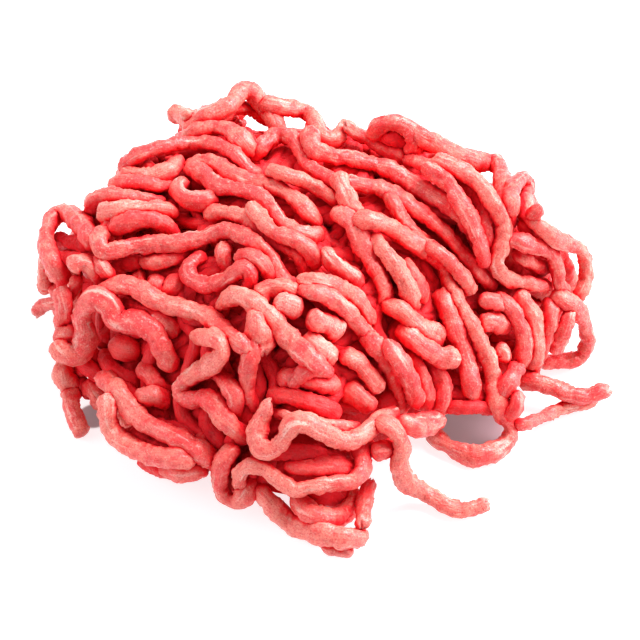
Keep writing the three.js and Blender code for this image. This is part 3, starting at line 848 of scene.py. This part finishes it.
class StrandMesh:
    """Gathers strands into one mesh, with what the finish needs to know of each point."""

    def __init__(self, fineness):
        self.spacing, self.sides = fineness
        self.points = []
        self.faces = []
        self.facts = {"fibre": [], "tone": [], "pale": [], "painted_shade": []}
        self.count = 0
        self.strands = 0

    def round_ring(self, values):
        """A value of each ring, given to all its points."""
        return np.repeat(values, self.sides, axis=0)

    def add(self, strand, width=1.0, torn="", painted_shade=0.0, fat=0.0):
        """Adds a strand as a closed tube of rings with a tip at each end."""
        self.strands += 1
        seed = self.strands * SEED_STEP + width
        along = distances_along(strand)
        length = along[-1]
        at, cap = ring_places(length, self.spacing)
        centres = np.stack([np.interp(at, along, strand[:, k]) for k in range(3)], 1)
        centres[1:-1] = (centres[:-2] + centres[1:-1] + centres[2:]) / 3
        tangents, across, other = frames_along(centres)

        angle = np.linspace(0, 2 * math.pi, self.sides, endpoint=False)
        circle = np.tile(np.column_stack([np.cos(angle), np.sin(angle)]), (len(at), 1))
        unrolled = np.column_stack([circle * STRAND_RADIUS, self.round_ring(at)])
        radius = oval_radius(seed, at, angle, width) + relief(seed, unrolled)
        radius *= self.round_ring(end_rounding(at, length, cap))
        outward = circle[:, :1] * self.round_ring(across) + circle[:, 1:] * self.round_ring(other)
        jut, nearness = torn_ends(seed, unrolled, length, torn)
        body = self.round_ring(centres) + outward * radius[:, None]
        body += self.round_ring(tangents) * jut[:, None]
        tips = [centres[0] - tangents[0] * TIP, centres[-1] + tangents[-1] * TIP]
        points = np.vstack([body, tips])
        points[:, 2] = np.maximum(points[:, 2], TABLE_CLEARANCE)

        self.add_faces(len(at))
        self.add_facts(unrolled, length, noise_along(seed, at, TONE_DRIFT))
        pale = np.maximum(fat, nearness)
        self.facts["pale"] += [pale, [pale[:self.sides].max(), pale[-self.sides:].max()]]
        # How much painted shade covers each point of the strand
        self.facts["painted_shade"].append(np.full(len(points), painted_shade))
        self.points.append(points)
        self.count += len(points)

    def add_faces(self, rings):
        """Four-cornered faces between the rings, and three-cornered ones round the tips."""
        ring = np.arange(rings * self.sides).reshape(rings, self.sides) + self.count
        first = self.count + rings * self.sides
        last = first + 1
        following = np.roll(ring, -1, axis=1)
        between = np.stack([ring[:-1], following[:-1], following[1:], ring[1:]], -1)
        self.faces.extend(between.reshape(-1, 4).tolist())
        self.faces.extend([first, b, a] for a, b in zip(ring[0], following[0]))
        self.faces.extend([last, a, b] for a, b in zip(ring[-1], following[-1]))

    def add_facts(self, unrolled, length, drift):
        """Notes where each point lies among the strand's fibres, and how light its meat is."""
        fibre = np.vstack([unrolled, [0, 0, 0], [0, 0, length]])
        fibre[:, 2] += self.strands * FIBRE_APART
        own_tone = TONE_SPREAD * (scatter(self.strands, 21) - 0.5)
        tone = np.clip(0.5 + own_tone + DRIFT_SPREAD * drift, 0, 1)
        self.facts["fibre"].append(fibre)
        self.facts["tone"] += [self.round_ring(tone), tone[[0, -1]]]

    def make(self, name, material):
        facts = {fact: np.concatenate(values) for fact, values in self.facts.items()}
        return make_piece(name, np.vstack(self.points), self.faces, facts, material)


def add_object(name, data):
    """A new object in the scene."""
    made = bpy.data.objects.new(name, data)
    bpy.context.scene.collection.objects.link(made)
    return made


def store(mesh, name, values):
    """Keeps a value for each point of the mesh, under a name that the finish reads."""
    vector = values.ndim == 2
    attribute = mesh.attributes.new(name, "FLOAT_VECTOR" if vector else "FLOAT", "POINT")
    attribute.data.foreach_set("vector" if vector else "value", values.ravel())


def make_piece(name, points, faces, facts, material):
    """A piece of the dressed heap from points in millimetres."""
    mesh = bpy.data.meshes.new(name)
    mesh.from_pydata((points * METRES).tolist(), [], faces)
    mesh.polygons.foreach_set("use_smooth", [True] * len(mesh.polygons))
    for fact, values in facts.items():
        store(mesh, fact, values)
    piece = add_object(name, mesh)
    piece.data.materials.append(material)
    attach(piece, "root")
    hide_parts(NODE)
    return piece


# How far the core, painted dark as shade, lies under the heap's surface, its reach and its gap
# to the table, how many sectors and rings it has, and how deep and close together its lumps are
CORE_SUNK = 10.5
CORE_SHARE = 0.93
CORE_CLEARANCE = 0.3
CORE_SECTORS, CORE_RINGS = 96, 30
CORE_LUMP, CORE_LUMP_PACE = 1.2, 0.13


def core_point(angle, share):
    """A point of the core's lumpy top, at an angle and a share of the way to the outline."""
    plan = plan_point(angle, share)
    height = float(height_at_share(share))
    lump = CORE_LUMP * noise.noise(Vector((*plan, height)) * CORE_LUMP_PACE)
    return [*plan, max(height - CORE_SUNK + lump, CORE_CLEARANCE)]


def core_faces():
    """The core's faces: its first point is the summit and its last the middle of its foot."""
    last_ring = 1 + (CORE_RINGS - 1) * CORE_SECTORS
    foot = last_ring + CORE_SECTORS
    faces = []
    for sector in range(CORE_SECTORS):
        beside = (sector + 1) % CORE_SECTORS
        faces.append([0, 1 + sector, 1 + beside])
        for ring in range(1, last_ring, CORE_SECTORS):
            a, b = ring + sector, ring + beside
            faces.append([a, a + CORE_SECTORS, b + CORE_SECTORS, b])
        faces.append([foot, last_ring + beside, last_ring + sector])
    return faces


def core_piece(material):
    """The core, painted the dark red of deep shade, seen only at the bottom of the deepest gaps."""
    points = [[*SUMMIT, HEAP_HEIGHT - CORE_SUNK]]
    for ring in range(1, CORE_RINGS + 1):
        share = CORE_SHARE * math.sin(math.pi / 2 * ring / CORE_RINGS)
        for sector in range(CORE_SECTORS):
            points.append(core_point(2 * math.pi * sector / CORE_SECTORS, share))
    points.append([0, 0, CORE_CLEARANCE])
    points = np.array(points)
    none, full = np.zeros(len(points)), np.ones(len(points))
    # The whole core is in the darkest painted shade
    facts = {"fibre": points, "tone": none, "pale": none, "painted_shade": full}
    return make_piece("core", points, core_faces(), facts, material)


# How far off a neighbour still shades a place, and the rays that look for it: how far each
# ring of rays leans from the surface's normal, how many it has, and how far out they start
SHADE_REACH = 8.0
RAY_RINGS = ((0.0, 1), (0.75, 5), (1.2, 5))
RAY_START = 0.12
NEARLY_UPRIGHT = 0.9


def surface_of(mesh):
    """A mesh's points, in millimetres, and their normals."""
    points = np.empty(len(mesh.vertices) * 3)
    normals = np.empty(len(mesh.vertices) * 3)
    mesh.vertices.foreach_get("co", points)
    mesh.vertex_normals.foreach_get("vector", normals)
    return points.reshape(-1, 3) / METRES, normals.reshape(-1, 3)


def openness_at(tree, points, normals):
    """The share of each point's rays that meet no neighbour. Rays that lean far count less."""
    upright = np.abs(normals[:, 2:]) >= NEARLY_UPRIGHT
    across = unit(np.cross(normals, np.where(upright, [[1.0, 0.0, 0.0]], [[0.0, 0.0, 1.0]])))
    other = np.cross(normals, across)
    origins = (points + normals * RAY_START).tolist()
    openness = np.zeros(len(points))
    total = 0.0
    for lean, count in RAY_RINGS:
        for k in range(count):
            turn = 2 * math.pi * k / count + lean
            rays = normals * math.cos(lean)
            rays += (across * math.cos(turn) + other * math.sin(turn)) * math.sin(lean)
            free = [tree.ray_cast(origin, ray, SHADE_REACH)[0] is None
                    for origin, ray in zip(origins, rays.tolist())]
            openness += np.array(free) * math.cos(lean)
            total += math.cos(lean)
    return openness / total


def store_openness(pieces):
    """Notes for each point how open it lies, from 0 in a closed gap to 1 in the open. The finish
    paints shade by it: deep red in the gaps, darkest where they close."""
    surfaces = [surface_of(piece.data) for piece in pieces]
    faces = []
    first = 0
    for piece, (points, _) in zip(pieces, surfaces):
        faces += [[v + first for v in face.vertices] for face in piece.data.polygons]
        first += len(points)
    all_points = np.vstack([points for points, _ in surfaces])
    tree = BVHTree.FromPolygons(all_points.tolist(), faces)
    for piece, (points, normals) in zip(pieces, surfaces):
        store(piece.data, "open", openness_at(tree, points, normals))


# The finish. Colours are linear.
# Painted shade for the gaps: darkest where a gap closes, deep red at its mouth
GAP_SHADE_DARK = (0.52, 0.0002, 0.003, 1)
GAP_SHADE_RED = (0.92, 0.006, 0.018, 1)
FLESH_RED = (0.81, 0.050, 0.053, 1)
SALMON = (0.85, 0.20, 0.155, 1)
# Fat's colour, also given to specks that are partly painted glints
FAT_AND_GLINT_PINK = (0.89, 0.49, 0.42, 1)
FIBRE_RED = (0.70, 0.015, 0.024, 1)
# Real blood stains, and also the painted shade of strands that lie in shade
BLOOD_AND_SHADE_RED = (0.78, 0.008, 0.016, 1)
DARK_SPECK_RED = (0.66, 0.030, 0.035, 1)

# How close together the finish's marks are, as the noise's scale for sizes in metres
MOTTLE, STAINS, FLECKS_AND_GLINTS, DARK_SPECKS, DAMP, GRAINS = 420, 150, 1900, 2200, 520, 1500

# The same across a strand and along it, for sizes in millimetres
FIBRES, STREAKS = (2.0, 0.28), (0.50, 0.10)


def set_inputs(node, values):
    """Sets sockets to values that are the same all over the surface."""
    for socket, value in values.items():
        node.inputs[socket].default_value = value


class Nodes:
    """Short ways to add and join a material's nodes."""

    def __init__(self, tree):
        self.tree = tree

    def add(self, kind, **settings):
        """A new node with its settings."""
        made = self.tree.nodes.new(kind)
        for name, value in settings.items():
            setattr(made, name, value)
        return made

    def feed(self, target, socket, source):
        """Joins a node's socket to another's output, or gives it a value."""
        if isinstance(source, bpy.types.NodeSocket):
            self.tree.links.new(source, target.inputs[socket])
        else:
            target.inputs[socket].default_value = source

    def read(self, name, output="Fac"):
        """What the mesh notes of each point under a name."""
        return self.add("ShaderNodeAttribute", attribute_name=name).outputs[output]

    def stretched(self, vector, across, along):
        """A place among the fibres, scaled across them and along them."""
        scaled = self.add("ShaderNodeVectorMath", operation="MULTIPLY")
        self.feed(scaled, 0, vector)
        self.feed(scaled, 1, (across, across, along))
        return scaled.outputs[0]

    def noise(self, vector, scale, detail=3.0, roughness=0.55):
        """Noise between 0 and 1 at a place."""
        made = self.add("ShaderNodeTexNoise")
        self.feed(made, "Vector", vector)
        set_inputs(made, {"Scale": scale, "Detail": detail, "Roughness": roughness})
        return made.outputs["Fac"]

    def ramp(self, value, low, high, to_low=0.0, to_high=1.0):
        """A smooth rise from to_low at low to to_high at high."""
        made = self.add("ShaderNodeMapRange", interpolation_type="SMOOTHSTEP")
        self.feed(made, "Value", value)
        limits = {"From Min": low, "From Max": high, "To Min": to_low, "To Max": to_high}
        set_inputs(made, limits)
        return made.outputs["Result"]

    def math(self, operation, first, second):
        made = self.add("ShaderNodeMath", operation=operation)
        self.feed(made, 0, first)
        self.feed(made, 1, second)
        return made.outputs[0]

    def mix(self, share, first, second):
        """The first colour where the share is 0 and the second where it is 1."""
        made = self.add("ShaderNodeMix", data_type="RGBA")
        self.feed(made, "Factor", share)
        self.feed(made, 6, first)
        self.feed(made, 7, second)
        return made.outputs[2]


def new_material(name):
    """A material, its shader, and the means to add nodes to it."""
    material = bpy.data.materials.new(name)
    material.use_nodes = True
    return material, material.node_tree.nodes["Principled BSDF"], Nodes(material.node_tree)


def flesh_colour(nodes, place, fibres):
    """Salmon or redder flesh, by strand and in patches, with blood stains and dark fibres."""
    own_tone = nodes.math("MULTIPLY", nodes.ramp(nodes.read("tone"), 0.1, 0.9), 0.55)
    mottle = nodes.ramp(nodes.noise(place, MOTTLE, 4), 0.3, 0.7)
    tone = nodes.math("ADD", own_tone, nodes.math("MULTIPLY", mottle, 0.45))
    colour = nodes.mix(nodes.ramp(tone, 0.15, 0.8), FLESH_RED, SALMON)
    stains = nodes.ramp(nodes.noise(place, STAINS, 4, 0.6), 0.52, 0.68, 0, 0.7)
    colour = nodes.mix(stains, colour, BLOOD_AND_SHADE_RED)
    return nodes.mix(nodes.ramp(fibres, 0.50, 0.72, 0, 0.5), colour, FIBRE_RED)


def fat_and_glint_share(nodes, place, fibre, openness):
    """How much fat and painted glint shows: in streaks along a strand, in specks, all over a pale
    one.
    """
    streaks = nodes.noise(nodes.stretched(fibre, *STREAKS), 1.0, 5, 0.6)
    patches = nodes.ramp(streaks, 0.54, 0.70, 0, 0.8)
    # Pale specks: partly fat flecks, partly painted glints
    flecks_and_glints = nodes.ramp(nodes.noise(place, FLECKS_AND_GLINTS, 2, 0.5), 0.55, 0.72, 0, 0.42)
    paleness = nodes.math("MULTIPLY", nodes.read("pale"), 0.35)
    fat = nodes.math("ADD", nodes.math("MAXIMUM", patches, flecks_and_glints), paleness)
    # Painted shade: less fat shows in the gaps
    return nodes.math("MULTIPLY", fat, nodes.ramp(openness, 0.25, 0.8))


def with_painted_shade(nodes, colour, place, openness, painted_shade):
    """The colour with painted shade over it, on strands in shade and in the gaps, and with dark
    specks.
    """
    # Painted shade: strands that lie in shade turn deep red, the most shaded darkest
    colour = nodes.mix(painted_shade, colour, BLOOD_AND_SHADE_RED)
    colour = nodes.mix(nodes.ramp(painted_shade, 0.9, 1.0), colour, GAP_SHADE_DARK)
    # Painted shade in the gaps: deep red at their mouths, darkest where they close
    colour = nodes.mix(nodes.ramp(openness, 0.30, 0.85), GAP_SHADE_RED, colour)
    colour = nodes.mix(nodes.ramp(openness, 0.02, 0.45), GAP_SHADE_DARK, colour)
    # Small darker specks, only where the meat lies open
    dark_specks = nodes.ramp(nodes.noise(place, DARK_SPECKS, 2, 0.6), 0.50, 0.34, 0, 0.7)
    return nodes.mix(nodes.math("MULTIPLY", dark_specks, openness), colour, DARK_SPECK_RED)


def wet_gloss(nodes, shader, place, openness, painted_shade):
    """Glossy where the meat lies open, with a wet film there, and dull in the gaps."""
    damp = nodes.ramp(nodes.noise(place, DAMP, 3), 0.3, 0.7, 0, 0.22)
    dullness = nodes.ramp(openness, 0.1, 0.7, 0.75, 0.30)
    nodes.feed(shader, "Roughness", nodes.math("ADD", damp, dullness))
    film = nodes.ramp(openness, 0.45, 0.95, 0, 0.35)
    nodes.feed(shader, "Coat Weight", nodes.math("MULTIPLY", film, nodes.ramp(painted_shade, 0, 1, 1, 0)))


def fine_relief(nodes, shader, place, fibres):
    """Fibres and grain too fine for the mesh."""
    grains = nodes.math("MULTIPLY", nodes.noise(place, GRAINS, 3, 0.6), 0.7)
    bump = nodes.add("ShaderNodeBump")
    set_inputs(bump, {"Strength": 1.0, "Distance": 0.0005})
    nodes.feed(bump, "Height", nodes.math("ADD", nodes.math("MULTIPLY", fibres, 0.9), grains))
    nodes.feed(shader, "Normal", bump.outputs["Normal"])


def meat_material():
    """Moist raw meat, with painted shade: deep red in the gaps and on strands that lie in shade."""
    material, shader, nodes = new_material("raw_meat")
    fibre = nodes.read("fibre", "Vector")
    place = nodes.add("ShaderNodeTexCoord").outputs["Object"]
    openness = nodes.read("open")
    # How much painted shade covers each point
    painted_shade = nodes.read("painted_shade")
    fibres = nodes.noise(nodes.stretched(fibre, *FIBRES), 1.0, 4, 0.65)

    colour = flesh_colour(nodes, place, fibres)
    colour = nodes.mix(fat_and_glint_share(nodes, place, fibre, openness), colour, FAT_AND_GLINT_PINK)
    nodes.feed(shader, "Base Color", with_painted_shade(nodes, colour, place, openness, painted_shade))
    wet_gloss(nodes, shader, place, openness, painted_shade)
    fine_relief(nodes, shader, place, fibres)

    set_inputs(shader, {
        "IOR": 1.4,
        "Specular IOR Level": 0.4,
        "Subsurface Weight": 0.3,
        "Subsurface Radius": (1.0, 0.25, 0.18),
        "Subsurface Scale": 0.0016,
        "Coat Roughness": 0.2,
    })
    return material


# Painted shade on the table, where the strands close round a bit of it: its middle, in the
# picture, and its radius in millimetres. It is in full shade up to this share of the radius.
PAINTED_SHADE_SPOTS = ((471, 427, 10.5), (325, 505, 5.0), (94, 416, 5.0))
FULL_SHADE = 0.7

# The table, and how strongly it glows in the open and in its painted shade
TABLE_DULL = (0.40, 0.40, 0.41, 1)
TABLE_PALE = (0.44, 0.44, 0.45, 1)
TABLE_PAINTED_SHADE = (0.30, 0.17, 0.20, 1)
TABLE_GLOW = (1.0, 0.99, 1.0, 1)
OPEN_GLOW, SHADED_GLOW = 0.77, 0.12


def painted_shade_on_table(nodes, place):
    """How much painted shade lies on the table, from 0 to 1."""
    shade = 0.0
    for u, v, radius in PAINTED_SHADE_SPOTS:
        line = sight_lines(np.array([[u, v]], float))[0]
        spot = EYE - line * EYE[2] / line[2]
        apart = nodes.add("ShaderNodeVectorMath", operation="DISTANCE")
        nodes.feed(apart, 0, place)
        nodes.feed(apart, 1, tuple(spot * METRES))
        near = nodes.ramp(apart.outputs["Value"], radius * METRES, radius * METRES * FULL_SHADE)
        shade = nodes.math("MAXIMUM", shade, near)
    return shade


def floor_material():
    """A pale table that glows a little, so that it is as white as in the photograph."""
    material, shader, nodes = new_material("pale_table")
    place = nodes.add("ShaderNodeTexCoord").outputs["Object"]
    colour = nodes.mix(nodes.noise(place, 6, 2), TABLE_DULL, TABLE_PALE)
    shade = painted_shade_on_table(nodes, place)
    # Painted shade on the table: a darker colour and less glow
    nodes.feed(shader, "Base Color", nodes.mix(shade, colour, TABLE_PAINTED_SHADE))
    nodes.feed(shader, "Emission Strength", nodes.ramp(shade, 0, 1, OPEN_GLOW, SHADED_GLOW))
    set_inputs(shader, {"Emission Color": TABLE_GLOW, "Roughness": 0.7})
    return material


def make_floor():
    """A plain pale table, which isn't part of the heap."""
    bpy.ops.mesh.primitive_plane_add(size=6)
    floor = bpy.context.object
    floor.name = "table"
    floor.data.materials.append(floor_material())


def make_camera():
    """A camera at the viewpoint that the strands were traced from."""
    camera = add_object("camera", bpy.data.cameras.new("camera"))
    camera.data.sensor_width = SENSOR_WIDTH
    camera.data.lens = SENSOR_WIDTH / 2 / math.tan(VIEW_HALF_ANGLE)
    camera.data.clip_start = 0.01
    camera.data.clip_end = 20
    camera.location = Vector(EYE * METRES)
    camera.rotation_euler = (math.pi / 2 - VIEW_ELEVATION, 0, 0)
    bpy.context.scene.camera = camera


def make_light(name, place, size, watts):
    """A round white light that faces the heap. Its place and size are in metres."""
    data = bpy.data.lights.new(name, "AREA")
    data.shape = "DISK"
    data.size = size
    data.energy = watts
    light = add_object(name, data)
    light.location = place
    light.rotation_mode = "QUATERNION"
    light.rotation_quaternion = (-Vector(place)).to_track_quat("-Z", "Y")


def make_lights():
    """A softbox high at the back right, a weak panel at each side and an even white surround."""
    make_light("softbox", (0.38, 0.26, 0.72), 0.6, 15.5)
    make_light("left_panel", (-0.70, -0.10, 0.40), 0.7, 3)
    make_light("right_panel", (0.75, 0.05, 0.35), 0.7, 7)
    world = bpy.data.worlds.new("studio")
    bpy.context.scene.world = world
    world.use_nodes = True
    surround = world.node_tree.nodes["Background"]
    set_inputs(surround, {"Color": (1.0, 1.0, 1.0, 1), "Strength": 0.58})
    bpy.context.scene.view_settings.view_transform = "Standard"


def lay_strands():
    """The strands inside, on the hidden side and in the picture, in the order they fell."""
    inner = []
    for layer, sunk in enumerate(INNER_SUNK):
        inner_bed = Bed(sunk)
        first = layer * INNER_STRANDS
        inner += [inner_strand(inner_bed, first + index) for index in range(INNER_STRANDS)]
    inner = [strand for strand in inner if len(strand)]
    bed = Bed()
    hidden = [lay_from_outside(bed, foot_places(index)) for index in range(FOOT_STRANDS)]
    hidden += [lay_from_outside(bed, hidden_places(index)) for index in range(HIDDEN_STRANDS)]
    hidden = [strand for strand in hidden if len(strand)]
    shown = {}
    for group, texts in SHOWN_GROUPS.items():
        shown[group] = {}
        for name, text in texts.items():
            shown[group][name] = lay_from_picture(bed, text, FREE_ENDS.get(name, ""))
    return inner, hidden, shown


def make_heap():
    """Lays all the strands and makes the heap's pieces."""
    meat = meat_material()
    inner, hidden, shown = lay_strands()
    pieces = [core_piece(meat)]

    mesh = StrandMesh(INNER_FINENESS)
    for strand in inner:
        mesh.add(strand, painted_shade=INNER_PAINTED_SHADE)
    pieces.append(mesh.make("inner_strands", meat))

    mesh = StrandMesh(HIDDEN_FINENESS)
    for strand in hidden:
        mesh.add(strand)
    pieces.append(mesh.make("hidden_strands", meat))

    for group, strands in shown.items():
        mesh = StrandMesh(SHOWN_FINENESS)
        for name, strand in strands.items():
            mesh.add(strand, WIDTHS.get(name, 1.0), TORN.get(name, ""), STRAND_PAINTED_SHADE.get(name, 0.0),
                     FATTY.get(name, 0.0))
        pieces.append(mesh.make(group, meat))
    store_openness(pieces)


make_camera()
make_heap()
make_floor()
make_lights()
